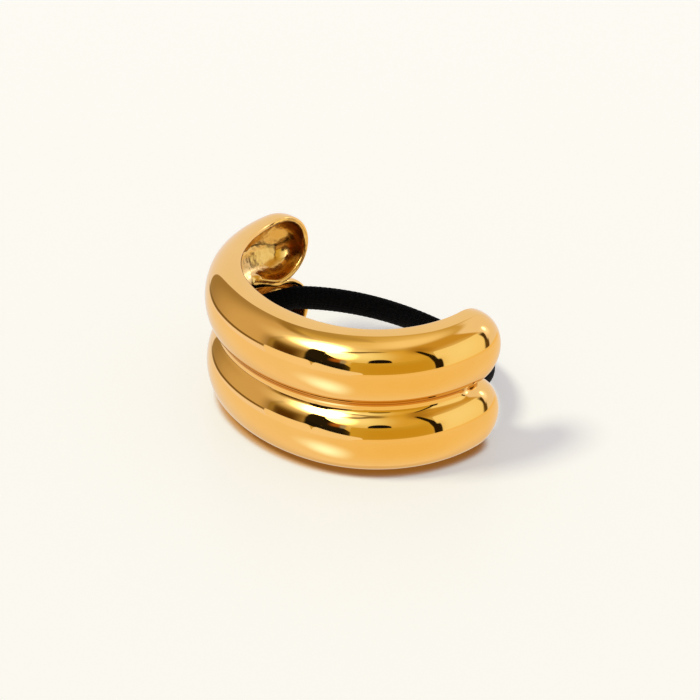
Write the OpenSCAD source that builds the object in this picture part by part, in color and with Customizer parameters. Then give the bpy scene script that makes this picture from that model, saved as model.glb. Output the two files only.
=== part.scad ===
// Double-dome ponytail cuff: one cast shell of two hollow ridges, open at the
// back, and a closed elastic band that runs through its lower hollow.
// Frame: millimetres, Z up, front toward -Y, origin under the middle of the
// whole part, which rests on its lower rim.

/* [Plan] */
// Radius of the shell's inner rim across the front
front_r = 26; // [23:0.5:32]
// Half angle of the front arc
front_half_angle = 18.7; // [12:0.1:24]
// Radius of the shell's inner rim round each side
side_r = 17.8; // [15:0.1:21]
// Angle that each side arc turns through
side_angle = 73.3; // [64:0.1:78]

/* [Domes] */
// Half height of one dome
dome_half = 6.2; // [5.8:0.1:7]
// Depth of one dome, from the inner rim to its crest
dome_depth = 6; // [5.2:0.1:7]
// Height by which the two domes run into each other at the rim
dome_overlap = 0.6; // [0.2:0.1:1]
// Radius of a dome's corner arcs
corner_r = 4.6; // [4:0.1:5]
// Radius of a dome's crest arc
crest_r = 8.5; // [7.6:0.1:10]
// Radius of the fillet in the valley between the domes
valley_r = 1.5; // [1.2:0.05:1.75]
// Thickness of the cast wall
wall = 0.95; // [0.7:0.05:1.2]

/* [Elastic] */
// Height of the elastic's oval section
band_h = 4; // [3:0.1:4.4]
// Thickness of the elastic's oval section
band_t = 2.6; // [2:0.1:3]
// Depth of the elastic's middle line in the lower hollow
band_depth = 2.2; // [1.8:0.1:2.6]
// Distance from the ends of the side arcs to the back of the elastic's loop
band_reach = 18.9; // [16.5:0.1:21.5]
// Angle by which the elastic turns inward where it leaves the hollow
band_leave = 18.4; // [14:0.1:23]
// Height of the elastic's middle line at the back
band_back_z = 3; // [2.4:0.1:4.5]
// Gap left between the elastic and the metal
band_gap = 0.2; // [0.15:0.05:0.3]

/* [Retaining bars] */
// Diameter of the two bars that keep the elastic in the hollow
bar_d = 1.1; // [0.9:0.1:1.4]
// Angle of each bar about its side arc, from straight ahead
bar_angle = 55; // [46:1:58]

/* [Hidden] */
$fn = 48;

total_angle = front_half_angle + side_angle;
dome_pitch = 2 * dome_half - dome_overlap;
low_z = dome_half;
total_h = dome_pitch + 2 * dome_half;
mid_z = total_h / 2;

// Centre of the right side arc, and the middle of the rim at its end
side_c = (front_r - side_r) * [sin(front_half_angle), -cos(front_half_angle)];
end_out = [sin(total_angle), -cos(total_angle)];
end_along = [cos(total_angle), sin(total_angle)];
end_p = side_c + side_r * end_out;

// Centres of a dome's arcs: u runs outward from the rim, w up from the middle
corner_w = dome_half - corner_r;
crest_u = dome_depth - crest_r;
corner_u = crest_u + sqrt(pow(crest_r - corner_r, 2) - pow(corner_w, 2));
join_angle = atan2(corner_w, corner_u - crest_u);
// Centre of the valley fillet, and the angle where it meets the corner arcs
valley_w = dome_pitch / 2 - corner_w;
valley_u = corner_u + sqrt(pow(corner_r + valley_r, 2) - pow(valley_w, 2));
valley_angle = atan2(valley_w, valley_u - corner_u);
// Length at each end over which the ridge between the hollows rises to the rim
ridge_rise = 3.5;

// Steps along the front arc, along each side arc and round each dome's end
front_steps = 8;
side_steps = 12;
round_steps = 8;
// Steps across a dome's crest arc and corner arc
crest_steps = 3;
corner_steps = 8;
bend_steps = corner_steps / 2;

function arc(cu, cw, r, a0, a1, n) = [
    for (i = [1 : n]) let (a = a0 + (a1 - a0) * i / n) [cu + r * cos(a), cw + r * sin(a)]
];
function backward(pts) = [for (i = [len(pts) - 1 : -1 : 0]) pts[i]];
function blend(p, q, k) = [for (i = [0 : len(p) - 1]) p[i] * (1 - k) + q[i] * k];

// A dome is described by half sections, each from its crest to its edge as
// [u, distance from the dome's middle line]. The first is at the crest, inset
// by t, and the corner arc ends at angle a.
function crest_curve(t) = arc(crest_u, 0, crest_r - t, 0, join_angle, crest_steps);
function corner_curve(t, a, n) = arc(corner_u, corner_w, corner_r - t, join_angle, a, n);
hollow_edge = concat(
    crest_curve(wall),
    corner_curve(wall, 90, corner_steps),
    [[0, dome_half - wall]]
);
// Free edge: outside, rim, then the hollow back to its crest
free_half = concat(
    crest_curve(0),
    corner_curve(0, 90, corner_steps),
    [[0, dome_half]],
    backward(hollow_edge)
);
// Cut off by the level of the valley, where a dome's rounded end meets the other
function cut_half(reach) = concat(
    crest_curve(0),
    corner_curve(0, asin((reach - corner_w) / corner_r), corner_steps),
    [[0, reach]],
    backward(hollow_edge)
);
// Toward the other dome: valley outside, and inside a ridge (k = 0) or a web
// that reaches the rim (k = 1)
valley_half = concat(
    crest_curve(0),
    corner_curve(0, valley_angle, bend_steps),
    arc(valley_u, dome_pitch / 2, valley_r, 180 + valley_angle, 180, bend_steps)
);
web_edge = concat(hollow_edge, [[0, dome_pitch / 2]]);
ridge_edge = concat(
    crest_curve(wall),
    corner_curve(wall, valley_angle, bend_steps),
    arc(valley_u, dome_pitch / 2, valley_r + wall, 180 + valley_angle, 180, bend_steps + 2)
);
function inner_half(k) = concat(valley_half, backward(blend(ridge_edge, web_edge, k)));

// Places of a half section's points in its list: last outside and first inside
edge_out = crest_steps + corner_steps;
edge_in = edge_out + 1;
half_count = len(free_half);

// Stations along the rim, as angles from straight ahead
stations = concat(
    [for (i = [0 : side_steps - 1]) -total_angle + side_angle * i / side_steps],
    [for (i = [0 : front_steps]) front_half_angle * (2 * i / front_steps - 1)],
    [for (i = [1 : side_steps]) front_half_angle + side_angle * i / side_steps]
);
last_station = len(stations) - 1;
// Angles round a dome's end: past the notch the two domes meet
notch_angle = 180 - acos(dome_pitch / 2 / dome_half);
rounds = concat(
    [for (i = [1 : round_steps]) notch_angle * i / round_steps],
    [(notch_angle + 180) / 2]
);
round_count = len(rounds);

function smooth(k) = k * k * (3 - 2 * k);
function end_distance(a) = (total_angle - abs(a)) / 180 * PI * side_r;
function web_share(a) = smooth(max(0, 1 - end_distance(a) / ridge_rise));
// Point at depth u and height z on the radial line at angle a
function on_rim(a, u, z) = abs(a) <= front_half_angle
    ? [(front_r + u) * sin(a), -(front_r + u) * cos(a), z]
    : [sign(a) * side_c[0] + (side_r + u) * sin(a), side_c[1] - (side_r + u) * cos(a), z];
// Point on the rounded end at side 1 or -1: r from the dome's middle, turned by a
function on_end(side, u, r, a, z) =
    let (p = end_p + u * end_out + r * sin(a) * end_along)
    [side * p[0], p[1], z];

// Rings of half sections round the upper dome: along its top, round the right
// end, back along its bottom and round the left end. Each ring is a list of
// [points, its crest's station, whether it ends at the valley's level].
high_z = low_z + dome_pitch;
top_rings = [
    for (j = [0 : last_station])
        [[for (p = free_half) on_rim(stations[j], p[0], high_z + p[1])], j, false]
];
bottom_rings = [
    for (j = [last_station : -1 : 0])
        let (half = inner_half(web_share(stations[j])))
            [
                [
                    for (i = [0 : half_count - 1])
                        let (z = i == edge_out - 1 || i == edge_in - 1 ? mid_z : high_z - half[i][1])
                            on_rim(stations[j], half[i][0], z)
                ],
                j,
                true
            ]
];
function end_ring(side, a, j) =
    let (
        meets = a >= notch_angle,
        half = meets ? cut_half(dome_pitch / 2 / -cos(a)) : free_half
    )
    [
        [
            for (i = [0 : half_count - 1])
                let (
                    level = meets && (i == edge_out - 1 || i == edge_in - 1),
                    z = level ? mid_z : high_z + half[i][1] * cos(a)
                )
                    on_end(side, half[i][0], half[i][1], a, z)
        ],
        j,
        meets
    ];
rings = concat(
    top_rings,
    [for (a = rounds) end_ring(1, a, last_station)],
    bottom_rings,
    [for (a = backward(rounds)) end_ring(-1, a, 0)]
);
ring_count = len(rings);
crests = [
    for (a = stations)
        each [on_rim(a, dome_depth, high_z), on_rim(a, dome_depth - wall, high_z)]
];

// Points on the valley's level come first, because both domes share them
meeting = [for (q = [0 : ring_count - 1]) if (rings[q][2]) q];
meeting_place = [for (q = [0 : ring_count - 1]) rings[q][2] ? search(q, meeting)[0] : 0];
shared = [for (q = meeting) each [rings[q][0][edge_out - 1], rings[q][0][edge_in - 1]]];
upper = concat([for (r = rings) each r[0]], crests);
lower = [for (p = upper) [p[0], p[1], total_h - p[2]]];
shell_points = concat(shared, upper, lower);

// Place in shell_points of ring q's point i, where i runs from the outer crest
// at 0 to the inner crest at half_count + 1
function place(q, i, base) =
    i == 0 ? base + ring_count * half_count + 2 * rings[q][1] :
    i == half_count + 1 ? base + ring_count * half_count + 2 * rings[q][1] + 1 :
    rings[q][2] && i == edge_out ? 2 * meeting_place[q] :
    rings[q][2] && i == edge_in ? 2 * meeting_place[q] + 1 :
    base + q * half_count + i - 1;
function side_faces(base) = [
    for (q = [0 : ring_count - 1])
        let (n = (q + 1) % ring_count, same = rings[q][1] == rings[n][1])
            for (i = [0 : half_count])
                if (!(i == edge_out && rings[q][2] && rings[n][2]))
                    let (
                        a = place(q, i, base),
                        b = place(q, i + 1, base),
                        c = place(n, i + 1, base),
                        d = place(n, i, base)
                    )
                        each same && i == 0 ? [[a, b, c]] :
                            same && i == half_count ? [[a, b, d]] : [[a, b, c], [a, c, d]]
];
upper_faces = side_faces(len(shared));
lower_faces = [for (f = side_faces(len(shared) + len(upper))) [f[0], f[2], f[1]]];

// Depth of the bars' middle, just inside the elastic
bar_u = band_depth - band_t / 2 - band_gap - bar_d / 2;
// Depth at which a bar's top runs into the ridge between the hollows
bar_root_u = valley_u - valley_r - wall / 2;
bend_r = bar_d;

// A wire that stands across the lower hollow and bends outward into the ridge
module retaining_bar() {
    translate(side_c)
        rotate([0, 0, bar_angle - 90])
            translate([side_r + bar_u, 0, 0]) {
                translate([0, 0, wall / 2])
                    cylinder(h = mid_z - bend_r - wall / 2, d = bar_d);
                translate([bend_r, 0, mid_z - bend_r])
                    rotate([90, 0, 0])
                        rotate([0, 0, 90])
                            rotate_extrude(angle = 90)
                                translate([bend_r, 0])
                                    circle(d = bar_d);
                translate([bend_r, 0, mid_z])
                    rotate([0, 90, 0])
                        cylinder(h = bar_root_u - bar_u - bend_r, d = bar_d);
            }
}

module cuff_shell() {
    color("goldenrod") {
        polyhedron(points = shell_points, faces = concat(upper_faces, lower_faces), convexity = 10);
        for (side = [0, 1])
            mirror([side, 0, 0])
                retaining_bar();
    }
}

// Elastic: its route is worked out in plan and then given its height
hollow_top_w = corner_w + sqrt(pow(corner_r - wall, 2) - pow(band_depth - corner_u, 2));
band_front_z = low_z + hollow_top_w - 1.5 * band_gap - band_h / 2;
// The route leaves the side arc here and passes inside the lower cap's rim
turn_length = 11;
turn_angle = total_angle - turn_length / side_r * 180 / PI;
cross_along = dome_half - wall - 0.35;
cross_p = end_p - (band_t / 2 + 1.8 * band_gap) * end_out + cross_along * end_along;
leave_dir = [-sin(band_leave), cos(band_leave)];
back_p = [0, end_p[1] + band_reach];
// Where the elastic starts to come down toward the back
fall_y = cross_p[1] - 2.9;
fall_power = 1.13;
// Lengths of the curves' handles, as shares of what they span
turn_handles = [0.38, 0.46];
back_handles = [0.42, 0.62];
ring_sides = 12;

function bezier(a, b, c, d, n) = [
    for (i = [1 : n])
        let (k = i / n, m = 1 - k)
            m * m * m * a + 3 * m * m * k * b + 3 * m * k * k * c + k * k * k * d
];
function round_arc(c, r, a0, a1, n) = [
    for (i = [1 : n]) let (a = a0 + (a1 - a0) * i / n) c + r * [sin(a), -cos(a)]
];
turn_p = side_c + (side_r + band_depth) * [sin(turn_angle), -cos(turn_angle)];
turn_dir = [cos(turn_angle), sin(turn_angle)];
turn_span = norm(cross_p - turn_p);
half_plan = concat(
    [[0, -front_r - band_depth]],
    round_arc([0, 0], front_r + band_depth, 0, front_half_angle, 4),
    round_arc(side_c, side_r + band_depth, front_half_angle, turn_angle, 6),
    bezier(
        turn_p,
        turn_p + turn_handles[0] * turn_span * turn_dir,
        cross_p - turn_handles[1] * turn_span * leave_dir,
        cross_p,
        9
    ),
    bezier(
        cross_p,
        cross_p + back_handles[0] * band_reach * leave_dir,
        back_p + [back_handles[1] * cross_p[0], 0],
        back_p,
        12
    )
);
function fall(y) = pow(max(0, (y - fall_y) / (back_p[1] - fall_y)), fall_power);
function lifted(p) = [p[0], p[1], band_front_z + (band_back_z - band_front_z) * fall(p[1])];
half_route = [for (p = half_plan) lifted(p)];
last = len(half_route) - 1;
route = concat(
    half_route,
    [for (i = [last - 1 : -1 : 1]) [-half_route[i][0], half_route[i][1], half_route[i][2]]]
);

function unit(v) = v / norm(v);
function oval(i) =
    let (
        n = len(route),
        along = unit(route[(i + 1) % n] - route[(i + n - 1) % n]),
        out = unit(cross(along, [0, 0, 1])),
        rise = cross(out, along)
    )
    [
        for (k = [0 : ring_sides - 1])
            let (a = 360 * k / ring_sides)
                route[i] + band_t / 2 * cos(a) * out + band_h / 2 * sin(a) * rise
    ];

module elastic_band() {
    n = len(route);
    points = [for (i = [0 : n - 1]) each oval(i)];
    faces = [
        for (i = [0 : n - 1])
            for (k = [0 : ring_sides - 1])
                let (j = (i + 1) % n, m = (k + 1) % ring_sides)
                    each [
                        [i * ring_sides + k, j * ring_sides + m, j * ring_sides + k],
                        [i * ring_sides + k, i * ring_sides + m, j * ring_sides + m]
                    ]
    ];
    color("black")
        polyhedron(points = points, faces = faces, convexity = 6);
}

// Brings the middle of the whole part over the origin
front_y = -front_r - dome_depth;
back_y = back_p[1] + band_t / 2;

module placed() {
    translate([0, -(front_y + back_y) / 2, 0])
        children();
}

placed() cuff_shell();
placed() elastic_band();
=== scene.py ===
"""Dresses the double-dome ponytail cuff: polished cast shell, its bars and the elastic."""

import logging
import math
from dataclasses import dataclass, field
from enum import Enum

import bmesh
import bpy
from bmesh.types import BMEdge, BMesh, BMVert
from bpy.types import Material, NodeSocket, NodeTree, Object
from mathutils import Matrix, Vector


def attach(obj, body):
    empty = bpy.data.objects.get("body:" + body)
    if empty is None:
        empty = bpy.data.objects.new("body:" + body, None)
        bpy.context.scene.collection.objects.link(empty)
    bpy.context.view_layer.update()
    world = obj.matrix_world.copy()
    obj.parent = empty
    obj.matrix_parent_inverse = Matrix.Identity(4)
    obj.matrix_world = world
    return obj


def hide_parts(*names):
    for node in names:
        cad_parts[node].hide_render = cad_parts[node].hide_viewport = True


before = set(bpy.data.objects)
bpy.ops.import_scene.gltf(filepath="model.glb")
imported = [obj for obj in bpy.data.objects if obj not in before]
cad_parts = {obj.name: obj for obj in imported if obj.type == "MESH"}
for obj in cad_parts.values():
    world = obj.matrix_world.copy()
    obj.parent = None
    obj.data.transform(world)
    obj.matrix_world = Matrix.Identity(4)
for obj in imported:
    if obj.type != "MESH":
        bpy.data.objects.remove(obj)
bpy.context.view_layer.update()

LOG = logging.getLogger("ponytail_cuff")
MM = 0.001
BODY = "root"
UP = Vector((0.0, 0.0, 1.0))

Pair = tuple[float, float]
RGB = tuple[float, float, float]
RGBA = tuple[float, float, float, float]


class Node(Enum):
    """The construction's own solids."""

    SHELL = "cuff_shell"
    ELASTIC = "elastic_band"


class Slot(Enum):
    """The record's material slots."""

    GOLD = "gold"
    ELASTIC = "elastic"


class Coat(Enum):
    """Which finish a face of the shell takes, by its place in the mesh's slots."""

    POLISHED = 0
    AS_CAST = 1


# ---- shader node helpers ----


def add_node(tree: NodeTree, kind: str, **settings: object) -> bpy.types.Node:
    """Adds a node and applies its settings.

    Args:
        tree: The tree that takes the node.
        kind: The node's type name.
        settings: Properties of the node.

    Returns:
        The new node.
    """
    node = tree.nodes.new(kind)
    for key, value in settings.items():
        setattr(node, key, value)
    return node


def feed(node: bpy.types.Node, values: "dict[str, object]") -> None:
    """Links or sets a node's inputs.

    Args:
        node: The node.
        values: A socket, a number or a colour for each input's name.
    """
    for label, value in values.items():
        if isinstance(value, NodeSocket):
            node.id_data.links.new(value, node.inputs[label])
        else:
            node.inputs[label].default_value = value


def calc(tree: NodeTree, operation: str, *values: "float | NodeSocket") -> NodeSocket:
    """Adds a Math node.

    Args:
        tree: The tree that takes the node.
        operation: The node's operation.
        values: Its inputs, each a number or a socket.

    Returns:
        The node's result.
    """
    node = add_node(tree, "ShaderNodeMath", operation=operation)
    for place, value in enumerate(values):
        if isinstance(value, NodeSocket):
            tree.links.new(value, node.inputs[place])
        else:
            node.inputs[place].default_value = value
    return node.outputs[0]


def span(
    tree: NodeTree,
    value: NodeSocket,
    source: "tuple[float | NodeSocket, float | NodeSocket]",
    target: Pair = (0.0, 1.0),
    kind: str = "SMOOTHSTEP",
) -> NodeSocket:
    """Maps a value from one range to another.

    Args:
        tree: The tree that takes the node.
        value: The value to map.
        source: The range it comes from.
        target: The range it goes to.
        kind: The interpolation.

    Returns:
        The mapped value.
    """
    node = add_node(tree, "ShaderNodeMapRange", interpolation_type=kind)
    feed(node, {"Value": value, "From Min": source[0], "From Max": source[1]})
    feed(node, {"To Min": target[0], "To Max": target[1]})
    return node.outputs[0]


def mix_colour(tree: NodeTree, share: NodeSocket, first: object, second: object) -> NodeSocket:
    """Mixes two colours.

    Args:
        tree: The tree that takes the node.
        share: How much of the second colour shows.
        first: A colour or a socket.
        second: A colour or a socket.

    Returns:
        The mixed colour.
    """
    node = add_node(tree, "ShaderNodeMix", data_type="RGBA")
    for name, value in (("Factor", share), ("A", first), ("B", second)):
        socket = next(s for s in node.inputs if s.name == name and s.enabled)
        if isinstance(value, NodeSocket):
            tree.links.new(value, socket)
        else:
            socket.default_value = value
    return next(s for s in node.outputs if s.enabled)


def add_noise(
    tree: NodeTree, place: NodeSocket, scale: "float | NodeSocket", detail: float = 2.0
) -> NodeSocket:
    """Adds a noise.

    Args:
        tree: The tree that takes the node.
        place: The position that it reads.
        scale: Its scale, per metre.
        detail: Its number of finer layers.

    Returns:
        The noise's height.
    """
    noise = add_node(tree, "ShaderNodeTexNoise")
    feed(noise, {"Vector": place, "Scale": scale, "Detail": detail})
    return noise.outputs[0]


def new_material(name: str) -> "tuple[Material, NodeTree, bpy.types.Node, NodeSocket]":
    """Starts a material.

    Args:
        name: The material's name.

    Returns:
        The material, its node tree, its shader and the position in the object.
    """
    material = bpy.data.materials.new(name)
    material.use_nodes = True
    tree = material.node_tree
    place = add_node(tree, "ShaderNodeTexCoord").outputs["Object"]
    return material, tree, tree.nodes["Principled BSDF"], place


def add_bump(tree: NodeTree, height: NodeSocket, strength: float, distance: float) -> NodeSocket:
    """Adds a Bump node.

    Args:
        tree: The tree that takes the node.
        height: The height that it reads.
        strength: How strongly it shows.
        distance: The height's reach in metres.

    Returns:
        The normal.
    """
    bump = add_node(tree, "ShaderNodeBump")
    feed(bump, {"Height": height, "Strength": strength, "Distance": distance})
    return bump.outputs[0]


def new_group(name: str, inputs: "dict[str, object]", outputs: "dict[str, str]") -> NodeTree:
    """Starts a shader node group.

    Args:
        name: The group's name.
        inputs: Input names with their default numbers or colours.
        outputs: Output names with their socket types.

    Returns:
        The group, with its input and output nodes named "in" and "out".
    """
    group = bpy.data.node_groups.new(name, "ShaderNodeTree")
    for label, value in inputs.items():
        kind = "NodeSocketFloat" if isinstance(value, float) else "NodeSocketColor"
        if isinstance(value, Vector):
            kind = "NodeSocketVector"
        socket = group.interface.new_socket(label, in_out="INPUT", socket_type=kind)
        socket.default_value = value
    for label, kind in outputs.items():
        group.interface.new_socket(label, in_out="OUTPUT", socket_type=kind)
    add_node(group, "NodeGroupInput", name="in")
    add_node(group, "NodeGroupOutput", name="out")
    return group


# ---- finishes ----

RELIEF_DETAIL = 3.0
RELIEF_ROUGHNESS = 0.55
MOTTLE_SPAN = (0.35, 0.65)
NOISE_SPAN = (0.3, 0.7)


def waves_group() -> NodeTree:
    """Relief and mottling of worked metal, as heights and a mask.

    Returns:
        A group that puts out Height and Mottle for a position, a coarse and a fine scale.
    """
    group = new_group(
        "metal_relief",
        {"Place": Vector((0.0, 0.0, 0.0)), "Coarse": 300.0, "Fine": 2000.0, "Share": 0.3},
        {"Height": "NodeSocketFloat", "Mottle": "NodeSocketFloat"},
    )
    given, out = group.nodes["in"], group.nodes["out"]
    heights = []
    for scale in ("Coarse", "Fine"):
        height = add_noise(group, given.outputs["Place"], given.outputs[scale], RELIEF_DETAIL)
        feed(height.node, {"Roughness": RELIEF_ROUGHNESS})
        heights.append(height)
    fine = calc(group, "MULTIPLY", heights[1], given.outputs["Share"])
    height = calc(group, "ADD", heights[0], fine)
    feed(out, {"Height": height, "Mottle": span(group, heights[0], MOTTLE_SPAN)})
    return group


@dataclass(frozen=True)
class GoldFinish:
    """A gold finish: colour, roughness and relief.

    The scales are per metre, the relief is in metres.
    """

    name: str
    light: RGBA
    deep: RGBA
    roughness: Pair
    coarse: float
    fine: float
    share: float
    relief: float
    strength: float

    def build(self, relief_group: NodeTree) -> Material:
        """Makes the material.

        Args:
            relief_group: The shared relief group.

        Returns:
            The finished material.
        """
        material, tree, shader, place = new_material(self.name)
        relief = add_node(tree, "ShaderNodeGroup", node_tree=relief_group)
        feed(relief, {"Place": place, "Coarse": self.coarse, "Fine": self.fine, "Share": self.share})
        mottle = relief.outputs["Mottle"]
        dress = {
            "Base Color": mix_colour(tree, mottle, self.light, self.deep),
            "Roughness": span(tree, mottle, (0.0, 1.0), self.roughness, "LINEAR"),
            "Normal": add_bump(tree, relief.outputs["Height"], self.strength, self.relief),
            "Metallic": 1.0,
        }
        feed(shader, dress)
        return material


@dataclass(frozen=True)
class KnitFinish:
    """Black knitted cover of the elastic: the yarn's colour with painted shade in the valleys between
    stitches, and the rows of stitches.
    """

    name: str = "black_knit"
    yarn: RGBA = (0.0016, 0.0016, 0.0022, 1.0)
    # Painted shade: the yarn's colour darkened for the valleys between stitches.
    valley: RGBA = (0.0008, 0.0008, 0.0011, 1.0)
    rows_across: float = 26.0
    row_length: float = 0.9
    slant: float = 1.3
    valley_shade_span: Pair = (-0.8, 0.6)
    fuzz_scale: float = 5200.0
    fuzz_share: float = 0.8
    relief: float = 0.00006
    strength: float = 0.7
    roughness: Pair = (0.8, 0.98)
    shine: float = 0.07
    sheen: float = 0.03
    sheen_roughness: float = 0.45

    def build(self) -> Material:
        """Makes the material; its pattern follows the band's own UV map.

        Returns:
            The finished material.
        """
        material, tree, shader, place = new_material(self.name)
        uv = add_node(tree, "ShaderNodeUVMap", uv_map="weave")
        parts = add_node(tree, "ShaderNodeSeparateXYZ")
        tree.links.new(uv.outputs[0], parts.inputs[0])
        along = calc(tree, "MULTIPLY", parts.outputs[0], 2 * math.pi / self.row_length)
        around = calc(tree, "MULTIPLY", parts.outputs[1], 2 * math.pi * self.rows_across)
        slant = calc(tree, "MULTIPLY", calc(tree, "SINE", around), self.slant)
        rows = calc(tree, "SINE", calc(tree, "ADD", along, slant))
        ribs = calc(tree, "COSINE", around)
        weave = calc(tree, "ADD", calc(tree, "MULTIPLY", rows, 0.5), calc(tree, "MULTIPLY", ribs, 0.5))
        fuzz = add_noise(tree, place, self.fuzz_scale, RELIEF_DETAIL)
        height = calc(tree, "ADD", weave, calc(tree, "MULTIPLY", fuzz, self.fuzz_share))
        # Base colour: painted shade darkens the yarn where the weave is low.
        dress = {
            "Base Color": mix_colour(tree, span(tree, weave, self.valley_shade_span), self.valley, self.yarn),
            "Roughness": span(tree, fuzz, NOISE_SPAN, self.roughness, "LINEAR"),
            "Normal": add_bump(tree, height, self.strength, self.relief),
            "Specular IOR Level": self.shine,
            "Sheen Weight": self.sheen,
            "Sheen Roughness": self.sheen_roughness,
        }
        feed(shader, dress)
        return material


@dataclass(frozen=True)
class FloorFinish:
    """Pale studio floor with a soft gloss and an even glow, with a painted contact shadow where the cuff
    touches it: darker there, and warmer as painted bounce light from the gold.
    """

    name: str = "studio_floor"
    colour: RGBA = (0.9, 0.9, 0.9, 1.0)
    glow: RGBA = (0.407, 0.404, 0.373, 1.0)
    painted_contact_shade: RGBA = (0.9, 0.5, 0.18, 1.0)
    painted_contact_shade_glow: RGBA = (0.08, 0.03, 0.0, 1.0)
    contact_reach: float = 0.0019
    contact_span: Pair = (0.4, 0.85)
    contact_samples: int = 8
    roughness: Pair = (0.3, 0.36)
    grain_scale: float = 40.0
    shine: float = 0.12

    def build(self) -> Material:
        """Makes the material.

        Returns:
            The finished material.
        """
        material, tree, shader, place = new_material(self.name)
        # Painted contact shadow: an ambient-occlusion mask darkens the floor's colour and glow near the
        # cuff, tinted amber as painted bounce light from the gold.
        near = add_node(tree, "ShaderNodeAmbientOcclusion", samples=self.contact_samples)
        feed(near, {"Distance": self.contact_reach})
        unshaded_share = span(tree, near.outputs["AO"], self.contact_span)
        grain = add_noise(tree, place, self.grain_scale)
        dress = {
            "Base Color": mix_colour(tree, unshaded_share, self.painted_contact_shade, self.colour),
            "Emission Color": mix_colour(tree, unshaded_share, self.painted_contact_shade_glow, self.glow),
            "Emission Strength": 1.0,
            "Roughness": span(tree, grain, NOISE_SPAN, self.roughness, "LINEAR"),
            "Specular IOR Level": self.shine,
        }
        feed(shader, dress)
        return material


# ---- mesh helpers ----


def corners(edges: "list[BMEdge]") -> "list[BMVert]":
    """Corners of some edges, each once and in an order that is the same every run."""
    return list(dict.fromkeys(v for e in edges for v in e.verts))


def spin_round(bm: BMesh, geom: list, centre: Vector, axis: Vector, angle: float, steps: int) -> list:
    """Spins parts of a mesh about an axis.

    Args:
        bm: The mesh.
        geom: Its corners and edges to spin.
        centre: A point of the axis.
        axis: The axis.
        angle: Degrees to turn.
        steps: Number of steps.

    Returns:
        The last copies of the corners and edges.
    """
    return bmesh.ops.spin(
        bm,
        geom=geom,
        cent=centre,
        axis=axis,
        angle=math.radians(angle),
        steps=steps,
        use_duplicate=False,
    )["geom_last"]


def mirror_whole(bm: BMesh, matrix: Matrix, axis: str, merge: float) -> None:
    """Adds a mesh's own mirror image to it.

    Args:
        bm: The mesh.
        matrix: The mirror's place.
        axis: The mirror's own axis, along which places are turned over.
        merge: Distance under which corners at the mirror are joined.
    """
    whole = [*bm.verts, *bm.edges, *bm.faces]
    bmesh.ops.mirror(bm, geom=whole, matrix=matrix, merge_dist=merge, axis=axis)


def extrude_ring(bm: BMesh, ring: "list[BMEdge]") -> "tuple[list[BMEdge], list[BMVert]]":
    """Extrudes a ring of edges.

    Args:
        bm: The mesh.
        ring: The ring's edges.

    Returns:
        The new ring's edges and corners, still in the old ring's place.
    """
    made = bmesh.ops.extrude_edge_only(bm, edges=ring)["geom"]
    verts = [g for g in made if isinstance(g, BMVert)]
    new = set(verts)
    return [g for g in made if isinstance(g, BMEdge) and set(g.verts) <= new], verts


def place_object(name: str, data: bpy.types.ID) -> Object:
    """Makes an object and links it to the scene.

    Args:
        name: The object's name.
        data: Its mesh, lamp or camera.

    Returns:
        The object.
    """
    made = bpy.data.objects.new(name, data)
    bpy.context.scene.collection.objects.link(made)
    return made


def link_mesh(bm: BMesh, name: str) -> Object:
    """Makes an object of a mesh and links it to the scene.

    Args:
        bm: The mesh, which is freed.
        name: The object's name.

    Returns:
        The object.
    """
    mesh = bpy.data.meshes.new(name)
    bm.to_mesh(mesh)
    bm.free()
    return place_object(name, mesh)


def finish_mesh(bm: BMesh, name: str, crease: float) -> Object:
    """Turns a mesh's faces outward, brings it to metres and makes an object of it.

    Args:
        bm: The mesh in millimetres, which is freed.
        name: The piece's name.
        crease: Angle in degrees above which an edge stays sharp.

    Returns:
        The object, linked to the scene.
    """
    bmesh.ops.recalc_face_normals(bm, faces=bm.faces)
    bmesh.ops.scale(bm, vec=(MM, MM, MM), verts=bm.verts)
    open_edges = sum(1 for e in bm.edges if len(e.link_faces) != 2)
    for face in bm.faces:
        face.smooth = True
    for edge in bm.edges:
        if len(edge.link_faces) == 2:
            edge.smooth = edge.calc_face_angle(0.0) < math.radians(crease)
    LOG.info("%s: %d faces, %d open edges", name, len(bm.faces), open_edges)
    return link_mesh(bm, name)


# ---- the cuff's plan, its wall and its pieces ----


@dataclass(frozen=True)
class CuffPlan:
    """Plan of the shell's inner rim, in millimetres and degrees, and its place in the frame."""

    front_r: float = 26.0
    front_half_angle: float = 18.7
    side_r: float = 17.8
    side_angle: float = 73.3
    middle_y: float = 9.473

    @property
    def front_centre(self) -> Vector:
        """Centre of the front arc."""
        return Vector((0.0, self.middle_y, 0.0))

    @property
    def side_centre(self) -> Vector:
        """Centre of the right side arc."""
        return self.front_centre + (self.front_r - self.side_r) * self.outward(self.front_half_angle)

    @property
    def total_angle(self) -> float:
        """Angle of the rim's end from straight ahead."""
        return self.front_half_angle + self.side_angle

    @property
    def end_point(self) -> Vector:
        """Middle of the rim at the right end."""
        return self.side_centre + self.side_r * self.outward(self.total_angle)

    @staticmethod
    def outward(angle: float) -> Vector:
        """Level direction away from the middle at an angle from straight ahead."""
        return Vector((math.sin(math.radians(angle)), -math.cos(math.radians(angle)), 0.0))

    @staticmethod
    def along(angle: float) -> Vector:
        """Level direction along the rim, toward the right end."""
        return Vector((math.cos(math.radians(angle)), math.sin(math.radians(angle)), 0.0))


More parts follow.
